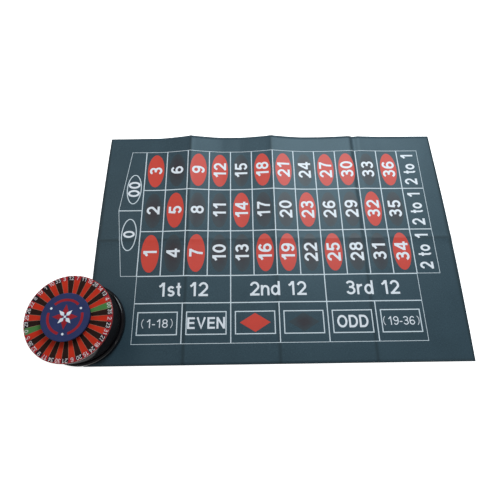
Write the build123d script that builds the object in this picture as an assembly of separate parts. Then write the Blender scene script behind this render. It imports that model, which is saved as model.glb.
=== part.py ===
from build123d import *
import math
import os

os.makedirs("parts", exist_ok=True)

# An electronic roulette game: a round battery unit with a lit number dial and a push button
# at its centre, standing on the near left corner of its printed betting cloth.
# Lengths are millimetres. The origin is the middle of the whole game's footprint, on the table.

# Betting cloth, thin non-woven felt that was folded four by two
cloth_length = 600.0
cloth_width = 410.0
cloth_thickness = 0.6
cloth_panels = 4
crease_run = 60.0
first_crease_middle = 3.0
first_crease_far = 8.0
second_crease_middle = 2.5
second_crease_far = 7.0
third_crease_middle = 0.5
third_crease_far = 1.5

# Wheel unit, where it stands and its outside
unit_left_of_cloth = 5.0
unit_above_near_edge = 63.7
felt_gap = 0.1
dial_height = 62.0
dial_setback = 1.0
foot_height = 2.0
base_radius = 63.6
flange_height = 11.2
flange_round = 3.5
base_edge_chamfer = 0.8
seam_gap = 0.8
wall_foot_step = 5.0
wall_top_step = 0.9
wall_curve_drop = 8.0
wall_thickness = 2.2
floor_thickness = 2.2
spigot_clearance = 0.4
spigot_wall = 1.8
spigot_rise = 3.8

# Dial: printed film on a clear ring, with a honeycomb of light cells under it
pocket_count = 38
dial_turn = 18.0
film_thickness = 0.2
lens_thickness = 2.3
lens_round = 0.8
lens_lip_height = 2.5
lens_lip_wall = 1.8
lens_lip_clearance = 0.5
cell_depth = 10.5
cell_wall = 1.0
cell_ring_wall = 1.2
baffle_clearance = 0.6
board_thickness = 1.6
board_clearance = 0.5
lamp_size = 3.0
lamp_height = 1.4
lamp_inset = 6.0

# Push button at the centre of the dial
button_radius = 31.4
button_rise = 10.5
button_wall = 2.0
button_gap = 0.6
button_travel = 3.0
catch_width = 1.6
catch_height = 1.6
catch_play = 0.3
catch_clearance = 0.5
disc_overhang = 2.6
disc_thickness = 2.4
disc_round = 0.8
peg_radius = 3.0
peg_length = 2.5
peg_clearance = 0.1
stem_radius = 5.0
stem_clearance = 0.08
stem_stop = 0.1
guide_wall = 2.1
guide_height = 15.0
guide_flange_radius = 11.0
guide_flange_height = 3.0
spring_wire_radius = 0.5
spring_clearance = 1.5
spring_turns = 5
spring_seat_gap = 0.05
switch_size = 6.0
switch_height = 3.5
plunger_radius = 1.7
plunger_height = 1.1

# Screws and the posts that they go into
post_inset = 4.5
post_angles = (60, 120, 240, 300)
post_radius = 4.2
post_rib = 3.0
screw_shank_radius = 1.4
screw_hole_clearance = 0.2
screw_head_radius = 2.8
screw_head_height = 2.2
screw_head_clearance = 0.4
base_screw_seat = 7.0
base_screw_grip = 8.0
board_screw_length = 9.0
guide_screw_radius = 1.0
guide_screw_head_radius = 1.9
guide_screw_head_height = 1.2
guide_screw_grip = 2.2

# Feet
foot_radius = 5.0
foot_recess = 0.6
foot_inset = 13.6
foot_angles = (45, 135, 225, 315)
foot_clearance = 0.1

# Battery bay for three AA cells side by side, closed by a door that slides out to the left
cell_length = 50.5
cell_radius = 7.25
cell_gap = 0.6
cell_side_clearance = 0.4
cell_lift = 0.4
cell_top_clearance = 0.4
cell_count = 3
nub_radius = 2.7
nub_length = 1.2
plate_thickness = 0.5
plate_width = 12.0
plate_lift = 0.8
plate_height = 13.5
tab_width = 3.0
tab_height = 2.0
tab_clearance = 0.2
contact_spring_length = 5.5
contact_spring_radius = 3.2
contact_wire_radius = 0.35
contact_spring_turns = 3
bay_wall = 1.6
bay_corner_gap = 0.13
door_frame_height = 1.6
door_frame_width = 5.25
door_thickness = 2.0
door_ledge = 1.1
door_rail_width = 1.5
door_side_gap = 0.3
door_end_lap = 3.0
door_end_gap = 0.2
door_rim_gap = 0.15
grip_count = 4
grip_pitch = 3.0
grip_width = 1.2
grip_length = 22.0
grip_depth = 0.6
grip_inset = 9.0

# Loudspeaker, facing down through holes in the floor
speaker_inset = 2.7
speaker_radius = 18.0
speaker_rim_width = 2.5
speaker_rim_height = 1.4
speaker_basket_depth = 6.4
speaker_back_radius = 12.0
speaker_back_thickness = 1.0
speaker_sheet = 0.8
speaker_clearance = 0.3
speaker_fence_wall = 1.7
speaker_fence_height = 3.0
magnet_radius = 10.0
magnet_height = 5.0
paper_thickness = 0.5
paper_clearance = 0.2
paper_core_radius = 5.0
paper_depth = 4.6
grille_hole_radius = 1.2
grille_pitch = 4.5

# Power switch, worked from below
power_inset = 22.6
power_y = 24.0
power_travel = 3.0
power_body_length = 13.0
power_body_width = 6.6
power_body_height = 4.4
power_block_length = 5.0
power_block_width = 4.0
power_block_height = 2.0
power_gap = 0.3
power_knob_length = 3.0
power_knob_width = 2.8
power_knob_recess = 0.4
power_dish_length = 13.0
power_dish_width = 8.0
power_dish_depth = 1.0

# Parts on the underside of the circuit board
chip_x = 0.0
chip_y = -24.0
chip_radius = 8.0
chip_height = 2.4
capacitor_places = ((-18.0, -26.0), (-26.0, -20.0))
capacitor_radius = 2.5
capacitor_height = 7.0
resistor_places = ((14.0, -24.0), (14.0, -28.0), (20.0, -24.0), (20.0, -28.0),
                   (-12.0, 30.0), (-12.0, 34.0))
resistor_length = 3.2
resistor_width = 1.6
resistor_height = 0.8

# Leads inside the unit
lead_radius = 0.6
lead_straight = 0.45
lead_first = 0.3
lead_second = 0.65
lead_spread = 2.0
battery_lead_steps = ((8.0, 3.0), (4.0, 7.0))
speaker_lead_step = 3.0
switch_lead_step = 5.0

NEAR = 0.001
QUARTERS = 4

# Heights above the surface that the unit stands on
base_bottom = foot_height
floor_top = base_bottom + floor_thickness
shoulder_top = base_bottom + flange_height
shoulder_bottom = shoulder_top - floor_thickness
wall_bottom = shoulder_top + seam_gap
spigot_top = shoulder_top + spigot_rise
lens_top = dial_height - film_thickness
lens_bottom = lens_top - lens_thickness
wall_curve_top = lens_bottom - wall_curve_drop
board_top = lens_bottom - cell_depth
board_bottom = board_top - board_thickness
screw_seat = base_bottom + base_screw_seat
button_top = dial_height + button_rise
disc_bottom = button_top - disc_thickness
button_underside = disc_bottom - button_wall
catch_top = lens_bottom - catch_play
catch_bottom = catch_top - catch_height
switch_top = board_top + switch_height
plunger_top = switch_top + plunger_height
stem_bottom = plunger_top + button_travel + stem_stop
spring_bottom = board_top + guide_flange_height
door_top = base_bottom + door_thickness
cell_bottom = floor_top + cell_lift
cell_axis_height = cell_bottom + cell_radius
bay_ceiling = cell_axis_height + cell_radius + cell_top_clearance
bay_roof = bay_ceiling + bay_wall
tab_top = bay_roof + tab_height
speaker_seat = floor_top
speaker_rim_top = speaker_seat + speaker_rim_height
speaker_back = speaker_rim_top + speaker_basket_depth
magnet_seat = speaker_back + speaker_back_thickness
power_top = floor_top + power_body_height
power_block_bottom = floor_top + power_gap

# Radii and plan sizes that follow from the ones above
dial_radius = base_radius - dial_setback
wall_foot_radius = base_radius - wall_foot_step
wall_top_radius = dial_radius - wall_top_step
wall_inner_foot = wall_foot_radius - wall_thickness
wall_inner_top = wall_top_radius - wall_thickness
spigot_radius = wall_inner_foot - spigot_clearance
post_circle_radius = spigot_radius - post_inset
lamp_circle_radius = post_circle_radius - lamp_inset
foot_circle_radius = base_radius - foot_inset
button_hole_radius = button_radius + button_gap
catch_radius = button_radius + catch_width
baffle_inner_radius = catch_radius + catch_clearance
lens_lip_radius = wall_inner_top - lens_lip_clearance
baffle_radius = lens_lip_radius - lens_lip_wall - baffle_clearance
board_radius = wall_inner_top - board_clearance
disc_radius = button_radius + disc_overhang
guide_radius = stem_radius + stem_clearance + guide_wall
spring_radius = guide_radius + spring_clearance + spring_wire_radius
cell_pitch = 2 * cell_radius + cell_gap
bay_length = cell_length + contact_spring_length + 2 * plate_thickness
bay_half_width = cell_pitch * (cell_count - 1) / 2 + cell_radius + cell_side_clearance
bay_corner_x = math.sqrt(spigot_radius ** 2 - (bay_half_width + bay_wall) ** 2)
bay_start = bay_wall + bay_corner_gap - bay_corner_x
bay_end = bay_start + bay_length
door_half_width = bay_half_width + door_rail_width
slot_end = bay_end + door_end_lap
speaker_fence_radius = speaker_radius + speaker_clearance
speaker_x = slot_end + speaker_inset + speaker_radius
power_x = base_radius - power_inset
crease_rises = (
    (0.0, first_crease_middle, first_crease_far),
    (0.0, second_crease_middle, second_crease_far),
    (0.0, third_crease_middle, third_crease_far),
)

# Where the unit stands in the game's own frame
unit_radius = max(base_radius, dial_radius)
game_left = min(0.0, -unit_left_of_cloth - unit_radius)
game_near = min(0.0, unit_above_near_edge - unit_radius)
game_middle_x = (game_left + cloth_length) / 2
game_middle_y = (game_near + cloth_width) / 2
cloth_place = Pos(-game_middle_x, -game_middle_y, 0)
unit_place = Pos(-unit_left_of_cloth - game_middle_x, unit_above_near_edge - game_middle_y,
                 cloth_thickness + felt_gap)


def block(x0, x1, y0, y1, z0, z1):
    """Box between two corners."""
    return Pos((x0 + x1) / 2, (y0 + y1) / 2, (z0 + z1) / 2) * Box(x1 - x0, y1 - y0, z1 - z0)


def rod(radius, z0, z1, x=0.0, y=0.0):
    """Upright cylinder between two heights."""
    return Pos(x, y, (z0 + z1) / 2) * Cylinder(radius, z1 - z0)


def tube(outer, inner, z0, z1, x=0.0, y=0.0):
    """Upright tube between two heights."""
    return rod(outer, z0, z1, x, y) - rod(inner, z0, z1, x, y)


def turned(corners):
    """Solid turned about Z from corners given as (radius, height)."""
    return revolve(make_face(Plane.XZ * Polyline(*corners, close=True)), Axis.Z)


def rim(solid, radius, height):
    """Round edges about Z with this radius at this height."""
    circles = solid.edges().filter_by(GeomType.CIRCLE)
    return [e for e in circles if abs(e.radius - radius) < NEAR and abs(e.arc_center.Z - height) < NEAR]


def on_circle(radius, degrees):
    """Plan position at an angle on a circle about Z."""
    angle = math.radians(degrees)
    return radius * math.cos(angle), radius * math.sin(angle)


def group(pieces):
    """Separate solids kept together in one node."""
    return Compound([solid for piece in pieces for solid in piece.solids()])


def wall_core(inset, z0, z1):
    """Solid inside the upper wall's outline, drawn in by inset."""
    foot = wall_foot_radius - inset
    top = wall_top_radius - inset
    outline = Curve() + [
        Line((0, z0), (foot, z0)),
        TangentArc((top, wall_curve_top), (foot, z0), tangent=(0, -1)),
        Line((top, wall_curve_top), (top, z1)),
        Line((top, z1), (0, z1)),
        Line((0, z1), (0, z0)),
    ]
    return revolve(make_face(Plane.XZ * outline), Axis.Z)


def coil(mean_radius, wire_radius, turns, length):
    """Open coil spring about Z, its wire centre rising from 0 to length."""
    steps = turns * QUARTERS
    rise = length / steps

    def point(step):
        x, y = on_circle(mean_radius, 360 / QUARTERS * step)
        return x, y, rise * step

    arcs = [ThreePointArc(point(k), point(k + 0.5), point(k + 1)) for k in range(steps)]
    path = Wire([arc.edge() for arc in arcs])
    gap = rise * QUARTERS - 2 * wire_radius
    print(f"coil of {turns} turns, least gap between turns {gap:.2f}")
    return sweep(Plane(origin=path @ 0, z_dir=path % 0) * Circle(wire_radius), path=path)


def lead(points):
    """Wire along a route of straight runs joined by arcs as large as the runs allow."""
    spots = [Vector(*p) for p in points]
    radii = []
    for before, here, after in zip(spots, spots[1:], spots[2:]):
        turn = math.radians((here - before).get_angle(after - here))
        shorter = min((here - before).length, (after - here).length)
        radii.append(lead_straight * shorter / math.tan(turn / 2))
    print("lead radii", [round(r, 1) for r in radii])
    path = FilletPolyline(*points, radius=radii)
    return sweep(Plane(origin=path @ 0, z_dir=path % 0) * Circle(lead_radius), path=path)


def screw(shank_radius, head_radius, head_height, seat, tip, x, y):
    """Round-headed screw; the head lies on the far side of its seat from the tip."""
    away = math.copysign(head_height, seat - tip)
    head = rod(head_radius, min(seat, seat + away), max(seat, seat + away), x, y)
    return head + rod(shank_radius, min(seat, tip), max(seat, tip), x, y)


def cloth_corners(station):
    """Underside of the felt across its length, as (x, height), at one station across its width."""
    panel = cloth_length / cloth_panels
    corners = [(0.0, 0.0)]
    for number, rises in enumerate(crease_rises, start=1):
        crease = panel * number
        corners += [(crease - crease_run, 0.0), (crease, rises[station]), (crease + crease_run, 0.0)]
    return corners + [(cloth_length, 0.0)]


def betting_cloth():
    """Felt sheet, lying flat near the unit and lifted along its creases towards the far edge."""
    last = len(crease_rises[0]) - 1
    rows = [[Vector(x, cloth_width * station / last, z) for x, z in cloth_corners(station)]
            for station in range(last + 1)]
    up = Vector(0, 0, cloth_thickness)
    faces = []
    for near, far in zip(rows, rows[1:]):
        for a, b, c, d in zip(near, near[1:], far[1:], far):
            halves = ((a, b, d), (b, c, d)) if d.Z > c.Z else ((a, b, c), (a, c, d))
            for corners in halves:
                faces.append(Face(Wire.make_polygon(corners)))
                faces.append(Face(Wire.make_polygon([corner + up for corner in corners])))
    left = [row[0] for row in rows]
    right = [row[-1] for row in rows]
    for edge in (rows[0], rows[-1], left, right):
        faces.append(Face(Wire.make_polygon(edge + [corner + up for corner in reversed(edge)])))
    return Solid(Shell(faces)).clean()


def base_shell():
    """Bottom moulding: floor, flange, spigot, battery bay, speaker fence and screw posts."""
    inside = base_radius - wall_thickness
    shell = turned([
        (0, base_bottom), (base_radius, base_bottom), (base_radius, shoulder_top),
        (spigot_radius, shoulder_top), (spigot_radius, spigot_top),
        (spigot_radius - spigot_wall, spigot_top), (spigot_radius - spigot_wall, shoulder_bottom),
        (inside, shoulder_bottom), (inside, floor_top), (0, floor_top),
    ])
    shell = shell.fillet(flange_round, rim(shell, base_radius, shoulder_top))
    shell = shell.chamfer(base_edge_chamfer, None, rim(shell, base_radius, base_bottom))
    for angle in post_angles:
        x, y = on_circle(post_circle_radius, angle)
        shell += rod(post_radius, floor_top, spigot_top, x, y)
    frame_half = bay_half_width + door_frame_width
    frame = block(-base_radius, slot_end + bay_wall, -frame_half, frame_half,
                  floor_top, floor_top + door_frame_height)
    shell += frame & rod(inside, floor_top, shoulder_bottom)
    shell += block(bay_start - bay_wall, bay_end + bay_wall, -bay_half_width - bay_wall,
                   bay_half_width + bay_wall, floor_top, bay_roof)
    shell += tube(speaker_fence_radius + speaker_fence_wall, speaker_fence_radius,
                  floor_top, floor_top + speaker_fence_height, speaker_x)
    shell -= rod(speaker_fence_radius, floor_top, spigot_top, speaker_x)
    shell -= block(bay_start, bay_end, -bay_half_width, bay_half_width, base_bottom, bay_ceiling)
    shell -= door_slot()
    for angle in post_angles:
        x, y = on_circle(post_circle_radius, angle)
        shell -= rod(screw_head_radius + screw_head_clearance, base_bottom, screw_seat, x, y)
        shell -= rod(screw_shank_radius + screw_hole_clearance, screw_seat, spigot_top, x, y)
    for angle in foot_angles:
        x, y = on_circle(foot_circle_radius, angle)
        shell -= rod(foot_radius + foot_clearance, base_bottom, base_bottom + foot_recess, x, y)
    for x, y in grille_places():
        shell -= rod(grille_hole_radius, base_bottom, floor_top, x, y)
    for x, y, z0, z1, width, thickness in tab_places():
        shell -= block(x - thickness / 2 - tab_clearance, x + thickness / 2 + tab_clearance,
                       y - width / 2 - tab_clearance, y + width / 2 + tab_clearance, bay_ceiling, bay_roof)
    shell -= power_dish()
    return shell


def door_slot():
    """Stepped slot of the battery door, open through the rim on the left."""
    below = block(-base_radius, slot_end, -bay_half_width - door_side_gap, bay_half_width + door_side_gap,
                  base_bottom, base_bottom + door_ledge)
    above = block(-base_radius, slot_end, -door_half_width - door_side_gap, door_half_width + door_side_gap,
                  base_bottom + door_ledge, floor_top)
    return below + above


def battery_door():
    """Flat door with a rail along each side, a rounded outer end and a ribbed thumb grip."""
    inner_end = slot_end - door_end_gap
    door = block(-base_radius, inner_end, -bay_half_width, bay_half_width, base_bottom, door_top)
    door += block(-base_radius, inner_end, -door_half_width, door_half_width,
                  base_bottom + door_ledge, door_top)
    edge = rod(base_radius - door_rim_gap, base_bottom, door_top)
    door &= edge.chamfer(base_edge_chamfer, None, rim(edge, base_radius - door_rim_gap, base_bottom))
    for number in range(grip_count):
        x = -base_radius + grip_inset + grip_pitch * number
        door -= block(x, x + grip_width, -grip_length / 2, grip_length / 2,
                      base_bottom, base_bottom + grip_depth)
    return door


def grille_places():
    """Holes in front of the loudspeaker: one at its centre and two rings around it."""
    places = [(speaker_x, 0.0)]
    for ring in (1, 2):
        for number in range(6 * ring):
            x, y = on_circle(grille_pitch * ring, 60 / ring * number)
            places.append((speaker_x + x, y))
    return places


def cell_rows():
    """Each battery cell's distance from the middle line, and the way that its nub points."""
    middle = (cell_count - 1) / 2
    return [(cell_pitch * (number - middle), 1 if number % 2 == 0 else -1) for number in range(cell_count)]


def battery_cells():
    """AA cells lying along X, turned end for end in turn."""
    cells = []
    for y, way in cell_rows():
        nub_end = bay_end - plate_thickness if way > 0 else bay_start + plate_thickness
        can = Pos(nub_end - way * (cell_length + nub_length) / 2, y, cell_axis_height)
        nub = Pos(nub_end - way * nub_length / 2, y, cell_axis_height)
        turn = Rot(0, 90, 0)
        cell = can * turn * Cylinder(cell_radius, cell_length - nub_length)
        cells.append(cell + nub * turn * Cylinder(nub_radius, nub_length))
    return group(cells)


def plate_spans():
    """Contact plates as (end of the bay, lowest y, highest y), joining neighbouring cells in turn."""
    rows = [y for y, _ in cell_rows()]
    half = plate_width / 2
    return [
        (-1, rows[0] - half, rows[0] + half),
        (1, rows[0] - half, rows[1] + half),
        (-1, rows[1] - half, rows[2] + half),
        (1, rows[2] - half, rows[2] + half),
    ]


def plate_side(end):
    """Where a plate's two faces lie along X at one end of the bay."""
    if end > 0:
        return bay_end - plate_thickness, bay_end
    return bay_start, bay_start + plate_thickness


def tab_places():
    """Solder tabs of the first and the last plate, which stand up through the bay's roof."""
    spans = plate_spans()
    places = []
    for end, low, high in (spans[0], spans[-1]):
        x0, x1 = plate_side(end)
        places.append(((x0 + x1) / 2, (low + high) / 2, plate_top(), tab_top, tab_width, plate_thickness))
    return places


def plate_top():
    """Upper edge of the contact plates."""
    return floor_top + plate_lift + plate_height


def contact_plates():
    """Four sprung-steel plates on the two end walls of the bay."""
    plates = []
    for end, low, high in plate_spans():
        x0, x1 = plate_side(end)
        plates.append(block(x0, x1, low, high, floor_top + plate_lift, plate_top()))
    for index, (x, y, z0, z1, width, thickness) in zip((0, -1), tab_places()):
        plates[index] += block(x - thickness / 2, x + thickness / 2, y - width / 2, y + width / 2, z0, z1)
    return group(plates)


def contact_springs():
    """Small coil spring at the flat end of each cell."""
    free = contact_spring_length - 2 * contact_wire_radius
    springs = []
    for y, way in cell_rows():
        foot = bay_start + plate_thickness if way > 0 else bay_end - plate_thickness
        place = Pos(foot + way * contact_wire_radius, y, cell_axis_height) * Rot(0, 90 * way, 0)
        springs.append(place * coil(contact_spring_radius, contact_wire_radius, contact_spring_turns, free))
    return group(springs)


def speaker_frame():
    """Pressed basket of the loudspeaker: rim, sloping sides and back plate."""
    reach = speaker_radius - speaker_rim_width
    frame = turned([
        (reach, speaker_seat), (speaker_radius, speaker_seat), (speaker_radius, speaker_rim_top),
        (reach + speaker_sheet, speaker_rim_top), (speaker_back_radius, speaker_back),
        (speaker_back_radius, magnet_seat), (0, magnet_seat), (0, speaker_back),
        (speaker_back_radius - speaker_sheet, speaker_back), (reach, speaker_rim_top),
    ])
    return Pos(speaker_x, 0, 0) * frame


def speaker_magnet():
    """Ring magnet's can on the back plate."""
    return rod(magnet_radius, magnet_seat, magnet_seat + magnet_height, speaker_x)


def speaker_cone():
    """Paper cone with a closed middle, held in the basket's rim."""
    reach = speaker_radius - speaker_rim_width - paper_clearance
    bottom = speaker_seat + paper_clearance
    cone = turned([
        (reach, bottom), (reach, bottom + paper_thickness),
        (paper_core_radius, bottom + paper_depth), (0, bottom + paper_depth),
        (0, bottom + paper_depth - paper_thickness), (paper_core_radius, bottom + paper_depth - paper_thickness),
    ])
    return Pos(speaker_x, 0, 0) * cone


def power_dish():
    """Finger dish under the floor and the window that the switch's knob comes through."""
    half_window = power_knob_length / 2 + power_travel / 2 + power_gap
    half_width = power_knob_width / 2 + power_gap
    dish = block(power_x - power_dish_length / 2, power_x + power_dish_length / 2,
                 power_y - power_dish_width / 2, power_y + power_dish_width / 2,
                 base_bottom, base_bottom + power_dish_depth)
    window = block(power_x - half_window, power_x + half_window, power_y - half_width,
                   power_y + half_width, base_bottom, floor_top)
    return dish + window


def power_switch_body():
    """Metal-cased slide switch on the floor, open below for its slider."""
    half_room = power_block_length / 2 + power_travel / 2 + power_gap
    half_width = power_block_width / 2 + power_gap
    body = block(power_x - power_body_length / 2, power_x + power_body_length / 2,
                 power_y - power_body_width / 2, power_y + power_body_width / 2, floor_top, power_top)
    room_top = power_block_bottom + power_block_height + power_gap
    return body - block(power_x - half_room, power_x + half_room, power_y - half_width,
                        power_y + half_width, floor_top, room_top)


def power_slider():
    """Slider in its off position, with the knob that the finger moves."""
    x = power_x - power_travel / 2
    slider = block(x - power_block_length / 2, x + power_block_length / 2,
                   power_y - power_block_width / 2, power_y + power_block_width / 2,
                   power_block_bottom, power_block_bottom + power_block_height)
    return slider + block(x - power_knob_length / 2, x + power_knob_length / 2,
                          power_y - power_knob_width / 2, power_y + power_knob_width / 2,
                          base_bottom + power_knob_recess, power_block_bottom)


def rubber_feet():
    """Four round pads let into the floor."""
    places = [on_circle(foot_circle_radius, angle) for angle in foot_angles]
    return group([rod(foot_radius, 0, base_bottom + foot_recess, x, y) for x, y in places])


def housing_screws():
    """Screws that hold the base to the upper shell, from below."""
    tip = spigot_top + base_screw_grip
    places = [on_circle(post_circle_radius, angle) for angle in post_angles]
    return group([screw(screw_shank_radius, screw_head_radius, screw_head_height, screw_seat, tip, x, y)
                  for x, y in places])


def upper_shell():
    """Round wall under the dial, with the posts that carry the circuit board."""
    shell = wall_core(0, wall_bottom, lens_bottom) - wall_core(wall_thickness, wall_bottom, lens_bottom)
    for angle in post_angles:
        x, y = on_circle(post_circle_radius, angle)
        rib = block(post_circle_radius, wall_top_radius, -post_rib / 2, post_rib / 2, spigot_top, board_bottom)
        shell += rod(post_radius, spigot_top, board_bottom, x, y)
        shell += (Rot(0, 0, angle) * rib) & wall_core(wall_thickness / 2, wall_bottom, lens_bottom)
    for angle in post_angles:
        x, y = on_circle(post_circle_radius, angle)
        shell -= rod(screw_shank_radius, spigot_top, spigot_top + base_screw_grip, x, y)
        shell -= rod(screw_shank_radius, board_top - board_screw_length, board_bottom, x, y)
    return shell


def dial_lens():
    """Clear ring over the lamps, standing out over the wall, with a lip that centres it."""
    lens = tube(dial_radius, button_hole_radius, lens_bottom, lens_top)
    lens = lens.fillet(lens_round, rim(lens, dial_radius, lens_top))
    return lens + tube(lens_lip_radius, lens_lip_radius - lens_lip_wall,
                       lens_bottom - lens_lip_height, lens_bottom)


def dial_film():
    """Thin printed film on the lens, which carries the numbers."""
    return tube(dial_radius - lens_round, button_hole_radius, lens_top, dial_height)


def light_baffle():
    """Honeycomb with one cell for each number, between the lamps and the lens."""
    baffle = tube(baffle_radius, baffle_radius - cell_ring_wall, board_top, lens_bottom)
    baffle += tube(baffle_inner_radius + cell_ring_wall, baffle_inner_radius, board_top, lens_bottom)
    inner = baffle_inner_radius + cell_ring_wall / 2
    outer = baffle_radius - cell_ring_wall / 2
    spoke = block(inner, outer, -cell_wall / 2, cell_wall / 2, board_top, lens_bottom)
    for number in range(pocket_count):
        baffle += Rot(0, 0, dial_turn + 360 / pocket_count * (number + 0.5)) * spoke
    for angle in post_angles:
        x, y = on_circle(post_circle_radius, angle)
        room = screw_head_height + screw_head_clearance
        baffle -= rod(screw_head_radius + screw_head_clearance, board_top, board_top + room, x, y)
    return baffle


def main_board():
    """Round circuit board on the shell's posts."""
    board = rod(board_radius, board_bottom, board_top)
    for angle in post_angles:
        x, y = on_circle(post_circle_radius, angle)
        board -= rod(screw_shank_radius + screw_hole_clearance, board_bottom, board_top, x, y)
    for x, y in guide_screw_places():
        board -= rod(guide_screw_radius, board_bottom, board_top, x, y)
    return board


def board_screws():
    """Screws through the board into the posts, from above."""
    tip = board_top - board_screw_length
    places = [on_circle(post_circle_radius, angle) for angle in post_angles]
    return group([screw(screw_shank_radius, screw_head_radius, screw_head_height, board_top, tip, x, y)
                  for x, y in places])


def number_lamps():
    """One lamp under each number."""
    lamp = block(lamp_circle_radius - lamp_size / 2, lamp_circle_radius + lamp_size / 2,
                 -lamp_size / 2, lamp_size / 2, board_top, board_top + lamp_height)
    return group([Rot(0, 0, dial_turn + 360 / pocket_count * number) * lamp for number in range(pocket_count)])


def sound_chip():
    """Drop of black resin over the chip that plays the sounds and picks the number."""
    ball = (chip_radius ** 2 + chip_height ** 2) / (2 * chip_height)
    drop = Pos(0, 0, board_bottom - chip_height + ball) * Sphere(ball)
    return Pos(chip_x, chip_y, 0) * (drop & rod(chip_radius, board_bottom - chip_height, board_bottom))


def board_parts():
    """Capacitors and resistors under the board."""
    parts = [rod(capacitor_radius, board_bottom - capacitor_height, board_bottom, x, y)
             for x, y in capacitor_places]
    for x, y in resistor_places:
        parts.append(block(x - resistor_length / 2, x + resistor_length / 2, y - resistor_width / 2,
                           y + resistor_width / 2, board_bottom - resistor_height, board_bottom))
    return group(parts)


def push_switch():
    """Case of the small switch under the button's stem."""
    half = switch_size / 2
    return block(-half, half, -half, half, board_top, switch_top)


def push_switch_plunger():
    """Round plunger on the small switch."""
    return rod(plunger_radius, switch_top, plunger_top)


def button_guide():
    """Sleeve on the board that the button's stem runs in, with a flange for the spring."""
    bore = stem_radius + stem_clearance
    guide = tube(guide_radius, bore, board_top, board_top + guide_height)
    guide += tube(guide_flange_radius, bore, board_top, spring_bottom)
    for x, y in guide_screw_places():
        guide -= rod(guide_screw_radius, board_top, board_top + guide_screw_grip, x, y)
    return guide


def guide_screw_places():
    """The sleeve's two screws, either side of the stem."""
    reach = (guide_flange_radius + guide_radius) / 2
    return [(-reach, 0.0), (reach, 0.0)]


def guide_screws():
    """Screws from under the board into the sleeve's flange."""
    tip = board_top + guide_screw_grip
    return group([screw(guide_screw_radius, guide_screw_head_radius, guide_screw_head_height,
                        board_bottom, tip, x, y) for x, y in guide_screw_places()])


def return_spring():
    """Coil spring that lifts the button."""
    bottom = spring_bottom + spring_wire_radius + spring_seat_gap
    top = button_underside - spring_wire_radius - spring_seat_gap
    return Pos(0, 0, bottom) * coil(spring_radius, spring_wire_radius, spring_turns, top - bottom)


def button_cap():
    """Round push button: flat top, skirt through the dial, catch under the lens and a stem."""
    inside = button_radius - button_wall
    cap = turned([
        (0, disc_bottom), (button_radius, disc_bottom), (button_radius, catch_top),
        (catch_radius, catch_top), (catch_radius, catch_bottom), (inside, catch_bottom),
        (inside, button_underside), (0, button_underside),
    ])
    cap += rod(stem_radius, stem_bottom, button_underside)
    return cap - rod(peg_radius + peg_clearance, disc_bottom - peg_length - peg_clearance, disc_bottom)


def button_label():
    """Printed disc on top of the button, wider than its body, with a peg into the stem."""
    disc = rod(disc_radius, disc_bottom, button_top)
    disc = disc.fillet(disc_round, rim(disc, disc_radius, button_top))
    return disc + rod(peg_radius, disc_bottom - peg_length, disc_bottom)


def riser(x, y, bottom, shift_x, shift_y):
    """Lead from an upright start to an upright end on the board, stepping sideways on its way."""
    rise = board_bottom - bottom
    return lead([
        (x, y, bottom), (x, y, bottom + lead_first * rise),
        (x + shift_x, y + shift_y, bottom + lead_second * rise), (x + shift_x, y + shift_y, board_bottom),
    ])


def battery_leads():
    """Two leads from the bay's solder tabs up to the board."""
    (left_x, left_y, *_), (right_x, right_y, *_) = tab_places()
    left_step, right_step = battery_lead_steps
    return group([riser(left_x, left_y, tab_top, *left_step), riser(right_x, right_y, tab_top, *right_step)])


def speaker_leads():
    """Two leads from the loudspeaker's back plate to the board."""
    x = speaker_x - (magnet_radius + speaker_back_radius) / 2
    step = speaker_lead_step
    return group([riser(x, side * lead_spread, magnet_seat, -step, side * step) for side in (-1, 1)])


def switch_leads():
    """Two leads from the power switch to the board."""
    step = switch_lead_step
    return group([riser(power_x + side * lead_spread, power_y, power_top, -step, -step) for side in (-1, 1)])


UNIT_PIECES = (
    base_shell, battery_door, battery_cells, contact_plates, contact_springs, speaker_frame,
    speaker_magnet, speaker_cone, power_switch_body, power_slider, rubber_feet, housing_screws,
    upper_shell, dial_lens, dial_film, light_baffle, main_board, board_screws, number_lamps,
    sound_chip, board_parts, push_switch, push_switch_plunger, button_guide, guide_screws,
    return_spring, button_cap, button_label, battery_leads, speaker_leads, switch_leads,
)

export_step(cloth_place * betting_cloth(), "parts/betting_cloth.step")
for piece in UNIT_PIECES:
    export_step(unit_place * piece(), f"parts/{piece.__name__}.step")
print("unit axis at", unit_place.position)
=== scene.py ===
# %% [markdown]
# # An electronic roulette game
# The game is a round battery unit with a printed number dial and a big push button at its centre.
# It stands on one corner of a thin felt cloth with the betting table printed on it.
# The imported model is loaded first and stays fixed: it gives every size and place in metres, and
# the script then dresses it with finishes and adds the soft and printed pieces.

# %% Load the fixed frame
import math
import bmesh
import bpy
from mathutils import Matrix, Vector, noise


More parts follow.
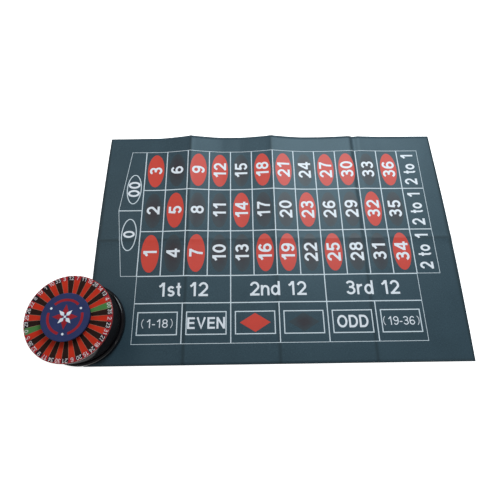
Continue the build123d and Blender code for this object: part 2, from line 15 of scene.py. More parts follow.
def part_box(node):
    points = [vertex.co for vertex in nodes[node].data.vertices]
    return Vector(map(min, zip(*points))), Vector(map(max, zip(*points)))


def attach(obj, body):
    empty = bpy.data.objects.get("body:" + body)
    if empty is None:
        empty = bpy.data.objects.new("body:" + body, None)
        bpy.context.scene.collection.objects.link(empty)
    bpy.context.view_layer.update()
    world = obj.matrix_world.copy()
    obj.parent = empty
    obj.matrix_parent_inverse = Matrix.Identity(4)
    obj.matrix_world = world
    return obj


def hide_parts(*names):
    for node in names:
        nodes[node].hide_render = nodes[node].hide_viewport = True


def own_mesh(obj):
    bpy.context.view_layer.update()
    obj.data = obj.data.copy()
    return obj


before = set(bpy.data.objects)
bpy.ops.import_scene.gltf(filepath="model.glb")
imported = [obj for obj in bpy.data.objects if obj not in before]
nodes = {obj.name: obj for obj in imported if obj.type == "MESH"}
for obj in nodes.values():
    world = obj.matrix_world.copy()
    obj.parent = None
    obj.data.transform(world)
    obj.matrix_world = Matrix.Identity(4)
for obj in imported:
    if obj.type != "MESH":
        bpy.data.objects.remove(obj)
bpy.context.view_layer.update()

# %% [markdown]
# ## Where the camera stands
# The camera looks down steeply from above the near edge of the cloth. A camera's turn can be
# tracked to a target, but three plain turns (heading, tilt, roll) can be read and changed one
# by one, so they are multiplied here in that order.

# %% Make the camera
heading, tilt, roll = math.radians(-2.28), math.radians(19.76), math.radians(1.54)
lens_data = bpy.data.cameras.new("camera")
lens_data.sensor_width = 36.0
lens_data.lens = 26.85
lens_data.shift_x = 0.0102
camera = bpy.data.objects.new("camera", lens_data)
camera.location = (-0.02645, -0.2327, 0.5947)
turn = (Matrix.Rotation(heading, 4, "Z") @ Matrix.Rotation(tilt, 4, "X")
        @ Matrix.Rotation(roll, 4, "Z"))
camera.rotation_euler = turn.to_euler()
bpy.context.collection.objects.link(camera)
bpy.context.scene.camera = camera
bpy.context.scene.view_settings.view_transform = "Standard"
print("camera at", tuple(round(part, 4) for part in camera.location))

# %% [markdown]
# ## Helpers for finishes
# Every finish is a principled shader fed by a few noise nodes. Noise read from Object
# coordinates stays fixed to the piece in metres, so a scale of 1000 means features of about a
# millimetre. Small helpers do the wiring: they make noise, colour ramps, mixes, sums and fine
# relief. The last one puts them together for anything that is moulded or plated.

# %% Make, carry and mix values
def new_finish(name, roughness, metallic=0.0, specular=0.5):
    """A principled material and its tree."""
    material = bpy.data.materials.new(name)
    material.use_nodes = True
    shader = material.node_tree.nodes["Principled BSDF"]
    shader.inputs["Roughness"].default_value = roughness
    shader.inputs["Metallic"].default_value = metallic
    shader.inputs["Specular IOR Level"].default_value = specular
    return material, material.node_tree, shader


def feed(tree, socket, value):
    """Gives an input a colour, a number or another node's output."""
    if isinstance(value, tuple):
        socket.default_value = (*value, 1.0)
    elif isinstance(value, float):
        socket.default_value = value
    else:
        tree.links.new(value, socket)


def noise_at(tree, scale, detail, stretch=(1.0, 1.0, 1.0)):
    """Noise value on Object coordinates; stretch changes the scale along each axis."""
    place = tree.nodes.new("ShaderNodeTexCoord")
    mapping = tree.nodes.new("ShaderNodeMapping")
    mapping.inputs["Scale"].default_value = stretch
    grain = tree.nodes.new("ShaderNodeTexNoise")
    grain.inputs["Scale"].default_value = scale
    grain.inputs["Detail"].default_value = detail
    tree.links.new(place.outputs["Object"], mapping.inputs["Vector"])
    tree.links.new(mapping.outputs["Vector"], grain.inputs["Vector"])
    return grain.outputs["Fac"]


def ramp_of(tree, value, stops):
    """Colour ramp over a value, between two (position, colour) stops."""
    ramp = tree.nodes.new("ShaderNodeValToRGB")
    for element, (position, colour) in zip(ramp.color_ramp.elements, stops):
        element.position = position
        element.color = (*colour, 1.0)
    tree.links.new(value, ramp.inputs["Fac"])
    return ramp.outputs["Color"]


def mixed(tree, factor, first, second):
    """Mix of two colours by a factor; the colour mix uses inputs 0, 6 and 7, and output 2."""
    mix = tree.nodes.new("ShaderNodeMix")
    mix.data_type = "RGBA"
    for number, value in ((0, factor), (6, first), (7, second)):
        feed(tree, mix.inputs[number], value)
    return mix.outputs[2]


def reckon(tree, operation, first, second):
    """Result of a Math node on two values."""
    node = tree.nodes.new("ShaderNodeMath")
    node.operation = operation
    feed(tree, node.inputs[0], first)
    feed(tree, node.inputs[1], second)
    return node.outputs[0]


def spread(tree, value, low, high, to_low=0.0, to_high=1.0):
    """A value's range from low to high, carried onto another range."""
    carry = tree.nodes.new("ShaderNodeMapRange")
    carry.inputs["From Min"].default_value = low
    carry.inputs["From Max"].default_value = high
    carry.inputs["To Min"].default_value = to_low
    carry.inputs["To Max"].default_value = to_high
    tree.links.new(value, carry.inputs["Value"])
    return carry.outputs["Result"]


print("noise, ramp, mix and range helpers ready")

# %% Relief and the moulded finish
def relief(tree, shader, value, height, strength=1.0):
    """Fine relief of this height in metres from a value of 0 to 1."""
    bump = tree.nodes.new("ShaderNodeBump")
    bump.inputs["Strength"].default_value = strength
    bump.inputs["Distance"].default_value = height
    tree.links.new(value, bump.inputs["Height"])
    tree.links.new(bump.outputs["Normal"], shader.inputs["Normal"])


def moulded(name, colour, roughness, grain=900.0, depth=0.00002, specular=0.5, metallic=0.0,
            spot=0.12):
    """Moulded or plated finish: a colour that drifts a little, uneven polish and a faint grain."""
    material, tree, shader = new_finish(name, roughness, metallic, specular)
    drift = noise_at(tree, 60.0, 3.0)
    dark = tuple(channel * (1 - spot) for channel in colour)
    light = tuple(min(1.0, channel * (1 + spot)) for channel in colour)
    tree.links.new(ramp_of(tree, drift, ((0.35, dark), (0.65, light))), shader.inputs["Base Color"])
    polish = spread(tree, noise_at(tree, 240.0, 5.0), 0.3, 0.7,
                    roughness * 0.8, min(1.0, roughness * 1.25))
    tree.links.new(polish, shader.inputs["Roughness"])
    relief(tree, shader, noise_at(tree, grain, 2.0), depth)
    return material


print("moulded finish ready")

# %% [markdown]
# ## The floor and the light
# The photograph's ground is plain white. A floor could be lit until it burns out, but that would
# also bleach the game. Here the floor keeps its shadows and adds a little of its own white for
# camera, mirror and glass rays only. One large soft lamp stands like a window behind the far
# edge, a weaker one at the far left hazes the felt there, a small one in front draws the thin
# highlight on the unit's flange, and the world fills in the rest.

# %% Make the floor
floor_half, floor_drop = 12.0, 0.0003
paper_white, paper_glow = 0.86, 0.82


def piece_of(name, shape, *finishes):
    """Object that takes over a bmesh, with its finishes, linked into the scene."""
    mesh = bpy.data.meshes.new(name)
    shape.to_mesh(mesh)
    shape.free()
    for finish in finishes:
        mesh.materials.append(finish)
    piece = bpy.data.objects.new(name, mesh)
    bpy.context.collection.objects.link(piece)
    return piece


def white_floor_finish():
    """White paper that shows shadows and reads as white to the camera."""
    material, tree, shader = new_finish("floor_white", 0.9, specular=0.1)
    shader.inputs["Base Color"].default_value = (paper_white, paper_white, paper_white, 1.0)
    shader.inputs["Emission Color"].default_value = (1.0, 1.0, 1.0, 1.0)
    rays = tree.nodes.new("ShaderNodeLightPath")
    seen = reckon(tree, "MAXIMUM", rays.outputs["Is Camera Ray"], rays.outputs["Is Glossy Ray"])
    seen = reckon(tree, "MAXIMUM", seen, rays.outputs["Is Transmission Ray"])
    glow = spread(tree, seen, 0.0, 1.0, 0.0, paper_glow)
    tree.links.new(glow, shader.inputs["Emission Strength"])
    return material


shape = bmesh.new()
bmesh.ops.create_grid(shape, x_segments=4, y_segments=4, size=floor_half)
bmesh.ops.translate(shape, verts=shape.verts, vec=(0.0, 0.0, -floor_drop))
floor = piece_of("floor", shape, white_floor_finish())
print("the floor lies", round(1000 * floor_drop, 2), "mm under the object")

# %% Light the scene
world = bpy.data.worlds.new("studio")
world.use_nodes = True
world.node_tree.nodes["Background"].inputs["Color"].default_value = (1.0, 1.0, 1.0, 1.0)
world.node_tree.nodes["Background"].inputs["Strength"].default_value = 0.30
bpy.context.scene.world = world


def soft_lamp(name, place, target, size, watts, colour):
    """Square area lamp at a place, turned to a target."""
    data = bpy.data.lights.new(name, "AREA")
    data.shape = "SQUARE"
    data.size = size
    data.energy = watts
    data.color = colour
    lamp = bpy.data.objects.new(name, data)
    lamp.location = place
    lamp.rotation_euler = (Vector(place) - Vector(target)).to_track_quat("Z", "Y").to_euler()
    bpy.context.collection.objects.link(lamp)


soft_lamp("window_lamp", (0.44, 0.85, 1.18), (0.08, 0.08, 0.0), 0.62, 17.0, (0.83, 0.945, 1.0))
soft_lamp("front_lamp", (0.75, -0.75, 0.55), (-0.2, -0.15, 0.0), 0.12, 0.5, (1.0, 1.0, 1.0))
soft_lamp("haze_lamp", (-0.62, 0.42, 0.95), (-0.2, 0.0, 0.0), 0.45, 1.4, (1.0, 0.88, 0.78))
print(len(bpy.data.lights), "lamps")

# %% [markdown]
# ## How the cloth lies
# The felt was folded four by two, so three creases run across it and one along it. Each of the
# three still stands up a little, with a sharp ridge on top, and fades towards the near edge. A
# cloth simulation could find this lie, but the creases are known, so a short formula gives the
# height of the felt at any place, and every print on it can ask the same formula.

# %% Height of the felt
cloth_low, cloth_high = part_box("betting_cloth")
cloth_wide, cloth_long = cloth_high.x - cloth_low.x, cloth_high.y - cloth_low.y
felt_thickness = 0.0006
panel = cloth_wide / 4
crease_run, crease_curve = 0.060, 1.35
crease_rises = ((0.0030, 0.0080), (0.0025, 0.0070), (0.0014, 0.0034))
ridge_rise, ridge_narrower, ridge_curve = 0.00045, 7, 1.5
dip_offset, dip_run, dip_depth = 0.005, 0.010, 0.0026
middle_fold = (cloth_low.y + cloth_high.y) / 2
fold_rise, fold_run = 0.0008, 0.012
ripple_rise, ripple_coarse, ripple_fine = 0.00035, 14, 33


def crease_lift(x, y):
    """How far the three creases lift the felt at a place; beside the third it dips again."""
    along = (y - cloth_low.y) / cloth_long
    lift = 0.0
    for number, (middle, far) in enumerate(crease_rises, start=1):
        reach = abs(x - cloth_low.x - number * panel) / crease_run
        rise = 2 * along * middle if along < 0.5 else middle + (2 * along - 1) * (far - middle)
        lift += rise * max(0.0, 1 - reach) ** crease_curve
        lift += ridge_rise * max(0.0, 1 - reach * ridge_narrower) ** ridge_curve
    from_dip = abs(x - cloth_low.x - 3 * panel - dip_offset) / dip_run
    return max(0.0, lift - dip_depth * along * max(0.0, 1 - from_dip))


def felt_rise(x, y):
    """Height of the felt as it would lie, in metres, at a place."""
    fold = fold_rise * max(0.0, 1 - abs(y - middle_fold) / fold_run) ** ridge_curve
    ripple = noise.noise(Vector((x * ripple_coarse, y * ripple_coarse, 0.0)))
    ripple += 0.5 * noise.noise(Vector((x * ripple_fine, y * ripple_fine, 4.0)))
    return felt_thickness + crease_lift(x, y) + fold + ripple_rise * max(0.0, ripple)


far_lift = crease_lift(cloth_low.x + panel, cloth_high.y)
print("the first crease stands", round(1000 * far_lift, 2), "mm high at the far edge")

# %% Edges and grid of the felt
side_bow, left_run, right_run = 0.0035, 0.060, 0.026
far_extra, far_run = 0.0022, 0.028


def edge_drift(x, y):
    """How far the cut edge wanders: the sides bow out at the fold, the far edge runs long."""
    along = (y - cloth_low.y) / cloth_long
    bow = side_bow * math.sin(math.pi * along)
    left = max(0.0, 1 - (x - cloth_low.x) / left_run)
    right = max(0.0, 1 - (cloth_high.x - x) / right_run)
    far = max(0.0, 1 - (cloth_high.y - y) / far_run) * min(1.0, max(0.0, (x - cloth_low.x) / panel))
    return Vector((bow * (right - left), far_extra * far, 0.0))


grid_x, grid_y = 200, 82
step_x, step_y = cloth_wide / grid_x, cloth_long / grid_y
corner_rise = {(i, j): felt_rise(cloth_low.x + i * step_x, cloth_low.y + j * step_y)
               for i in range(grid_x + 1) for j in range(grid_y + 1)}


def felt_height(x, y):
    """Height of the felt's own flat faces at a place, between the corners of its grid."""
    u, v = (x - cloth_low.x) / step_x, (y - cloth_low.y) / step_y
    i = min(grid_x - 1, max(0, math.floor(u + 1e-4)))
    j = min(grid_y - 1, max(0, math.floor(v + 1e-4)))
    near = corner_rise[i, j] + (u - i) * (corner_rise[i + 1, j] - corner_rise[i, j])
    far = corner_rise[i, j + 1] + (u - i) * (corner_rise[i + 1, j + 1] - corner_rise[i, j + 1])
    return near + (v - j) * (far - near)


print("the felt rises to", round(1000 * felt_height(cloth_low.x + panel, cloth_high.y), 1), "mm")

# %% [markdown]
# ## The felt's finish
# Cheap non-woven felt is a mat of short fibres pressed flat. A printed weave would be wrong, so
# two noises stretched in different directions stand for the fibres. A slow third noise gives
# the cloudy tone that the dye has, a darker colour along the creases is painted shade, and
# sheen catches light along the fibres at low angles.

# %% Felt finish
dye_dark, dye_light = (0.018, 0.039, 0.055), (0.023, 0.048, 0.067)
fibre_pale, fibre_deep = (0.048, 0.092, 0.116), (0.010, 0.027, 0.037)
# painted shade: a darker felt colour laid along the creases and the middle fold
painted_crease_shade = (0.012, 0.027, 0.037)


def felt_fibres(tree):
    """Value of the pressed fibres, lying mostly along and across the cloth."""
    along = noise_at(tree, 1500.0, 5.0, (1.0, 0.25, 1.0))
    across = noise_at(tree, 1500.0, 5.0, (0.25, 1.0, 1.0))
    return mixed(tree, 0.5, along, across)


def crease_mark(tree):
    """Mask for the painted crease shade: near 0 along the standing creases and the middle fold, 1
    elsewhere.
    """
    place = tree.nodes.new("ShaderNodeTexCoord")
    parts = tree.nodes.new("ShaderNodeSeparateXYZ")
    tree.links.new(place.outputs["Object"], parts.inputs[0])
    away = []
    for axis, start, step in (("X", cloth_low.x, panel), ("Y", middle_fold, 1.0)):
        from_start = reckon(tree, "SUBTRACT", parts.outputs[axis], start)
        away.append(reckon(tree, "PINGPONG", from_start, step / 2))
    return spread(tree, reckon(tree, "MINIMUM", *away), 0.0004, 0.0042)


def felt_finish():
    """Slate green non-woven felt with the faint shine of pressed fibres."""
    material, tree, shader = new_finish("felt_cloth", 0.50, specular=0.5)
    cloudy = noise_at(tree, 16.0, 3.0)
    base = ramp_of(tree, cloudy, ((0.30, dye_dark), (0.70, dye_light)))
    fibres = felt_fibres(tree)
    pale = mixed(tree, spread(tree, fibres, 0.48, 0.80), base, fibre_pale)
    deep = mixed(tree, spread(tree, fibres, 0.22, 0.46), fibre_deep, pale)
    # painted shade: the felt turns darker along the creases and the middle fold
    crease_shaded = mixed(tree, crease_mark(tree), painted_crease_shade, deep)
    tree.links.new(crease_shaded, shader.inputs["Base Color"])
    shader.inputs["Specular Tint"].default_value = (0.72, 0.92, 1.0, 1.0)
    shader.inputs["Sheen Weight"].default_value = 0.04
    shader.inputs["Sheen Roughness"].default_value = 0.5
    relief(tree, shader, fibres, 0.00012, 0.5)
    return material


print("felt finish ready")

# %% [markdown]
# ## The felt itself
# A sheet is modelled as a grid, lifted point by point with the height formula, and given its
# thickness by a Solidify modifier. The grid's lines fall on the creases, so they stay sharp.

# %% Make the felt
def give_wall(piece, name, thickness):
    """Solidify modifier that keeps the mesh as the outer face and grows inwards."""
    wall = piece.modifiers.new(name, "SOLIDIFY")
    wall.thickness = thickness
    wall.offset = -1.0


shape = bmesh.new()
bmesh.ops.create_grid(shape, x_segments=grid_x, y_segments=grid_y, size=0.5)
cloth_middle = (cloth_low + cloth_high) / 2
bmesh.ops.scale(shape, verts=shape.verts, vec=(cloth_wide, cloth_long, 1.0))
bmesh.ops.translate(shape, verts=shape.verts, vec=(cloth_middle.x, cloth_middle.y, 0.0))
for vert in shape.verts:
    vert.co.z = felt_height(vert.co.x, vert.co.y)
    vert.co += edge_drift(vert.co.x, vert.co.y)
for face in shape.faces:
    face.smooth = True
felt = piece_of("betting_felt", shape, felt_finish())
give_wall(felt, "felt_wall", felt_thickness)
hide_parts("betting_cloth")
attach(felt, "cloth")
print("felt grid", len(felt.data.vertices), "points")

# %% [markdown]
# ## Printing on felt
# The table is screen printed. It could be a texture, but real edges stay sharp from any
# distance, so each print is a thin flat shape. It is cut along the felt's own grid, laid about a
# tenth of a millimetre over it, and given a wall that sinks into the felt.

# %% Table layout
cell = 0.03876
row = 2.0582 * cell
dozen = 1.1708 * cell
outside = 1.654 * cell
table_left = cloth_low.x + 1.7683 * cell
table_top = cloth_high.y - 0.02954
line_width = 0.00165
print_lift, words_lift, print_step, print_wall = 0.00008, 0.00012, 0.00001, 0.0002


def at(across, down):
    """Place on the cloth, in cells across and metres down from the table's first corner."""
    return table_left + across * cell, table_top - down


print("a number's cell is", round(1000 * cell, 2), "by", round(1000 * row, 2), "mm")

# %% Flat shapes
def polygon(points):
    """Flat face through some points, as a new bmesh."""
    bm = bmesh.new()
    bm.faces.new([bm.verts.new((x, y, 0.0)) for x, y in points])
    bm.normal_update()
    return bm


def ring(points, width, outward=False):
    """Border of a flat face, inside or outside its edge."""
    bm = polygon(points)
    inner = list(bm.faces)
    bmesh.ops.inset_region(bm, faces=inner, thickness=width, use_even_offset=True,
                           use_outset=outward, use_boundary=True)
    bmesh.ops.delete(bm, geom=inner, context="FACES_ONLY")
    return bm


def oval(centre, wide, high, points=56):
    """Points of an ellipse."""
    turns = [2 * math.pi * number / points for number in range(points)]
    return [(centre[0] + wide / 2 * math.cos(a), centre[1] + high / 2 * math.sin(a)) for a in turns]


def rectangle(centre, wide, high):
    """Corners of a rectangle."""
    x, y = centre
    return [(x - wide / 2, y - high / 2), (x + wide / 2, y - high / 2),
            (x + wide / 2, y + high / 2), (x - wide / 2, y + high / 2)]


print("an oval has", len(oval((0, 0), cell, row)), "points")

# %% Lay prints on the felt
def cut_on_grid(bm):
    """Cuts a flat shape along the felt's grid lines."""
    for axis, start, step in ((0, cloth_low.x, step_x), (1, cloth_low.y, step_y)):
        low = min(vert.co[axis] for vert in bm.verts)
        high = max(vert.co[axis] for vert in bm.verts)
        first = math.ceil((low - start) / step + 1e-6)
        last = math.floor((high - start) / step - 1e-6)
        normal = Vector((1.0, 0.0, 0.0)) if axis == 0 else Vector((0.0, 1.0, 0.0))
        for line in range(first, last + 1):
            geometry = bm.verts[:] + bm.edges[:] + bm.faces[:]
            bmesh.ops.bisect_plane(bm, geom=geometry, dist=1e-7, plane_no=normal,
                                   plane_co=normal * (start + line * step))


def joined_print(name, shapes, height_at, finish, thickness, moved=(0.0, 0.0, 0.0)):
    """One thin piece from flat shapes, at four heights so that neighbours share no plane."""
    whole = bmesh.new()
    for number, bm in enumerate(shapes):
        for vert in bm.verts:
            vert.co.z = height_at(vert.co.x, vert.co.y) + print_step * (number % 4)
        part = bpy.data.meshes.new("part")
        bm.to_mesh(part)
        bm.free()
        whole.from_mesh(part)
        bpy.data.meshes.remove(part)
    for face in whole.faces:
        if face.normal.z < 0:
            face.normal_flip()
    bmesh.ops.translate(whole, verts=whole.verts, vec=moved)
    piece = piece_of(name, whole, finish)
    give_wall(piece, "ink_wall", thickness)
    print(name, len(piece.data.polygons), "faces")
    return piece


def printed_on_felt(name, shapes, finish, lift=print_lift):
    """One print piece from flat shapes, laid on the felt."""
    for bm in shapes:
        cut_on_grid(bm)
    piece = joined_print(name, shapes, lambda x, y: felt_height(x, y) + lift, finish, print_wall)
    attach(piece, "cloth")
    return piece


print("prints are cut every", round(1000 * step_x, 2), "and", round(1000 * step_y, 2), "mm")

# %% [markdown]
# ## Lettering
# The table's figures are a plain bold sans, with a flag on the one. Blender's own font is drawn
# differently, so each figure is built here from even strokes, as a sign painter would. A stroke
# starts as one edge across the line and is extruded from point to point along it.

# %% Strokes
def arc(centre, reach, start, end, points):
    """Points along part of an ellipse, between two angles in degrees."""
    sweep = end - start
    turns = [math.radians(start + sweep * number / (points - 1)) for number in range(points)]
    return [(centre[0] + reach[0] * math.cos(a), centre[1] + reach[1] * math.sin(a)) for a in turns]


def stroke(points, thick, closed=False):
    """Flat ribbon of even width along a line of points."""
    line = [Vector((x, y, 0.0)) for x, y in points]
    if closed:
        line.append(line[0])
    steps = [(after - before).normalized() for before, after in zip(line, line[1:])]
    came = [steps[-1] if closed else steps[0]] + steps
    goes = steps + [steps[0] if closed else steps[-1]]
    bm = bmesh.new()
    edge = None
    for here, before, after in zip(line, came, goes):
        along = (before + after).normalized()
        half = Vector((-along.y, along.x, 0.0)) * thick / 2 / max(0.6, along.dot(after))
        if edge is None:
            edge = bm.edges.new([bm.verts.new(here + half), bm.verts.new(here - half)])
        else:
            made = bmesh.ops.extrude_edge_only(bm, edges=[edge])["geom"]
            ends = [part for part in made if isinstance(part, bmesh.types.BMVert)]
            ends.sort(key=lambda vert: (vert.co - left).length)
            ends[0].co = here + half
            ends[1].co = here - half
            edge = next(part for part in made if isinstance(part, bmesh.types.BMEdge))
        left = here + half
    if closed:
        bmesh.ops.remove_doubles(bm, verts=bm.verts, dist=1e-6)
    bm.normal_update()
    return bm


print("half a circle has", len(arc((0, 0), (1, 1), 0, 180, 13)), "points")

# %% Figures and letters
def figure(letter, s):
    """Width of a figure one unit high, and its strokes, which are s wide; a is half of that."""
    a = s / 2
    top, waist, low = 1 - a, 0.53, 0.74
    upper, upper_half = (top + waist) / 2, (top - waist) / 2
    lower, lower_half = (waist + a) / 2, (waist - a) / 2
    bowl_half = (low / 2 - a) / 2
    six = [(arc((0.33, a + 0.235), (0.33 - a, 0.235), 0, 345, 24), True),
           (arc((0.36, 0.5), (0.36 - a, 0.5 - a), 42, 180, 12) + [(a, 0.32)], False)]
    shapes = {
        "0": (0.66, [(arc((0.33, 0.5), (0.33 - a, 0.5 - a), 0, 348, 30), True)]),
        "1": (0.56, [([(0.40, 0), (0.40, 1)], False),
                     ([(0.09, 0.70), (0.24, 0.79), (0.35, 0.96)], False)]),
        "2": (0.66, [(arc((0.33, top - 0.27), (0.33 - a, 0.27), 168, -26, 15) + [(0.10, a)], False),
                     ([(0, a), (0.66, a)], False)]),
        "3": (0.66, [([(0.22, waist)]
                      + arc((0.31, upper), (0.31 - a, upper_half), -90, 160, 15), False),
                     ([(0.22, waist)]
                      + arc((0.32, lower), (0.33 - a, lower_half), 90, -162, 17), False)]),
        "4": (0.68, [([(0.48, 0), (0.48, 1)], False), ([(0.45, 0.96), (0.07, 0.33)], False),
                     ([(0, 0.29), (0.68, 0.29)], False)]),
        "5": (0.66, [([(0.13, top), (0.61, top)], False), ([(0.165, 1), (0.105, 0.47)], False),
                     (arc((0.325, a + 0.245), (0.325 - a, 0.245), 146, -162, 17), False)]),
        "6": (0.66, six),
        "7": (0.64, [([(0.02, top), (0.62, top)], False),
                     ([(0.57, 0.93), (0.43, 0.68), (0.32, 0.38), (0.28, 0)], False)]),
        "8": (0.66, [(arc((0.33, upper), (0.30 - a, upper_half), 0, 345, 24), True),
                     (arc((0.33, lower), (0.33 - a, lower_half), 0, 345, 24), True)]),
        "9": (0.66, [([(0.66 - x, 1 - y) for x, y in points], closed) for points, closed in six]),
        "s": (0.52, [(arc((0.26, (low - a + low / 2) / 2), (0.24 - a, bowl_half), 22, 270, 14)
                      + arc((0.26, (low / 2 + a) / 2), (0.26 - a, bowl_half), 90, -158, 14)[1:],
                      False)]),
        "t": (0.36, [([(0.17, 0.96), (0.17, 0.24)]
                      + arc((0.29, 0.20), (0.12, 0.20 - a), 180, 275, 6), False),
                     ([(0.0, low - a), (0.34, low - a)], False)]),
        "n": (0.60, [([(a, 0), (a, low)], False),
                     ([(a, 0.36)] + arc((0.315, 0.44), (0.285 - a, low - a - 0.44), 165, 0, 10)
                      + [(0.60 - a, 0)], False)]),
        "d": (0.64, [([(0.64 - a, 0), (0.64 - a, 1)], False),
                     (arc((0.31, low / 2), (0.31 - a, low / 2 - a), 0, 345, 24), True)]),
        "r": (0.42, [([(a, 0), (a, low)], False),
                     (arc((0.36, 0.38), (0.36 - a, low - a - 0.38), 172, 84, 8), False)]),
        "o": (0.64, [(arc((0.32, low / 2), (0.32 - a, low / 2 - a), 0, 345, 24), True)]),
        "E": (0.66, [([(a, 0), (a, 1)], False), ([(s, top), (0.65, top)], False),
                     ([(s, 0.51), (0.61, 0.51)], False), ([(s, a), (0.66, a)], False)]),
        "V": (0.82, [([(a, 1.0), (0.41, a * 0.9), (0.82 - a, 1.0)], False)]),
        "N": (0.74, [([(a, 0), (a, 1)], False), ([(0.74 - a, 0), (0.74 - a, 1)], False),
                     ([(a, 0.97), (0.74 - a, 0.03)], False)]),
        "O": (0.88, [(arc((0.44, 0.5), (0.44 - a, 0.5 - a), 0, 350, 36), True)]),
        "D": (0.78, [([(a, 0), (a, 1)], False),
                     ([(s, top), (0.34, top)] + arc((0.34, 0.5), (0.44 - a, 0.5 - a), 80, -80, 16)
                      + [(0.34, a), (s, a)], False)]),
        "(": (0.26, [(arc((0.80, 0.5), (0.74, 0.74), 136, 224, 13), False)]),
        ")": (0.26, [(arc((-0.54, 0.5), (0.74, 0.74), 44, -44, 13), False)]),
        "-": (0.34, [([(0.0, 0.38), (0.34, 0.38)], False)]),
        " ": (0.34, []),
    }
    return shapes[letter]


def word(body, height, place, turned=0.0, thick=0.17, most=None, gap=0.13):
    """Strokes of a word with its middle at a place, narrowed where it is wider than most."""
    width = sum(figure(letter, thick)[0] + gap for letter in body) - gap
    across = min(height, most / width) if most else height
    put = Matrix.Translation((place[0], place[1], 0.0)) @ Matrix.Rotation(turned, 4, "Z")
    put = put @ Matrix.Diagonal((across, height, 1.0, 1.0))
    put = put @ Matrix.Translation((-width / 2, -0.5, 0.0))
    shapes, start = [], 0.0
    for letter in body:
        wide, strokes = figure(letter, thick)
        for points, closed in strokes:
            bm = stroke(points, thick, closed)
            bmesh.ops.transform(bm, verts=bm.verts,
                                matrix=put @ Matrix.Translation((start, 0.0, 0.0)))
            shapes.append(bm)
        start += wide + gap
    return shapes


print("the 8 has", len(figure("8", 0.17)[1]), "strokes")

# %% [markdown]
# ## Ink finishes
# Screen ink on felt never covers fully: fibres poke through it. Each ink mixes a little of the
# felt's tone in along the same fibre noise, and stays as rough as the felt below. The black ink
# is so thin that it fades out towards the rim of each shape, and an attribute of the mesh will
# tell it how far out it is.

# %% Ink finishes
felt_tone = (0.03, 0.05, 0.06)
faded_black = (0.021, 0.040, 0.052)


def felt_ink(name, colour, thin=0.25, fades=False):
    """Ink on felt; thin is how much the fibres show through."""
    material, tree, shader = new_finish(name, 0.50, specular=0.45)
    fibres = felt_fibres(tree)
    worn = spread(tree, fibres, 0.50, 0.25, 0.0, thin)
    under = tuple(0.35 * inked + 0.65 * bare for inked, bare in zip(colour, felt_tone))
    patches = spread(tree, noise_at(tree, 90.0, 3.0), 0.3, 0.7, 0.0, 0.35)
    patchy = mixed(tree, patches, colour, tuple(channel * 0.88 for channel in colour))
    inked = mixed(tree, worn, patchy, under)
    if fades:
        place = tree.nodes.new("ShaderNodeAttribute")
        place.attribute_name = "reach"
        worn_rim = mixed(tree, 0.35, place.outputs["Fac"], noise_at(tree, 130.0, 4.0))
        inked = mixed(tree, spread(tree, worn_rim, 0.42, 0.86), inked, faded_black)
    tree.links.new(inked, shader.inputs["Base Color"])
    relief(tree, shader, fibres, 0.0001, 0.4)
    return material


white_ink = felt_ink("white_ink", (0.79, 0.83, 0.89), 0.15)
line_ink = felt_ink("line_ink", (0.66, 0.74, 0.80), 0.15)
red_ink = felt_ink("red_ink", (0.62, 0.042, 0.022))
black_ink = felt_ink("black_ink", (0.022, 0.018, 0.026), 0.3, fades=True)
print("four inks for the felt")

# %% [markdown]
# ## Lines of the table
# Each cell is a face whose edge is inset by half a line. Two neighbours give a whole line
# between them, with clean corners, and one outset ring closes the outline.

# %% Print the lines
columns, lines = 12, 3
depth = lines * row
bottom = depth + dozen + outside
zero_side, zero_tip = -0.69, -1.06


def block(left, right, top, base):
    """Corners of a cell between two columns and two depths."""
    return [at(left, top), at(right, top), at(right, base), at(left, base)]


cells = [block(column, column + 1, line * row, (line + 1) * row)
         for column in range(columns + 1) for line in range(lines)]
cells += [block(column, column + 4, depth, depth + dozen) for column in range(0, columns, 4)]
cells += [block(column, column + 2, depth + dozen, bottom) for column in range(0, columns, 2)]
cells += [[at(0, 0), at(zero_side, 0), at(zero_tip, depth / 2), at(0, depth / 2)],
          [at(0, depth / 2), at(zero_tip, depth / 2), at(zero_side, depth), at(0, depth)]]
outline = [at(0, 0), at(zero_side, 0), at(zero_tip, depth / 2), at(zero_side, depth), at(0, depth),
           at(0, bottom), at(columns, bottom), at(columns, depth), at(columns + 1, depth),
           at(columns + 1, 0)]
line_shapes = [ring(corners, line_width / 2) for corners in cells]
line_shapes.append(ring(outline, line_width / 2, outward=True))
outside_middles = [at(column + 1, depth + dozen + outside / 2) for column in range(0, columns, 2)]
box_wide, box_high = 2 * cell * 0.83, outside * 0.575
line_shapes += [ring(rectangle(place, box_wide, box_high), line_width) for place in outside_middles]
double_zero, single_zero = at(-0.446, 1.995 * cell), at(-0.491, 4.255 * cell)
zero_wide, zero_high = 0.68 * cell, 0.742 * row
line_shapes += [ring(oval(place, zero_wide, zero_high), line_width)
                for place in (double_zero, single_zero)]
table_lines = printed_on_felt("table_lines", line_shapes, line_ink)

# %% [markdown]
# ## Ovals and diamonds
# The red and the black numbers follow the usual table. Flat polygons are enough for both. Each
# point of the black ones also stores how far out it lies, for the ink that fades.

# %% Print the ovals and diamonds
oval_wide, oval_high = 0.77 * cell, 0.84 * row
red_numbers = {1, 3, 5, 7, 9, 12, 14, 16, 18, 19, 21, 23, 25, 27, 30, 32, 34, 36}
diamond_wide, diamond_high = 1.26 * cell, 0.47 * outside
number_places = {3 * column + 3 - line: at(column + 0.5, (line + 0.5) * row)
                 for column in range(columns) for line in range(lines)}
red_shapes, black_shapes = [], []
for number, place in number_places.items():
    ovals = red_shapes if number in red_numbers else black_shapes
    ovals.append(polygon(oval(place, oval_wide, oval_high)))


def diamond(place, wide, high):
    """Corners of a diamond."""
    x, y = place
    return [(x - wide / 2, y), (x, y - high / 2), (x + wide / 2, y), (x, y + high / 2)]


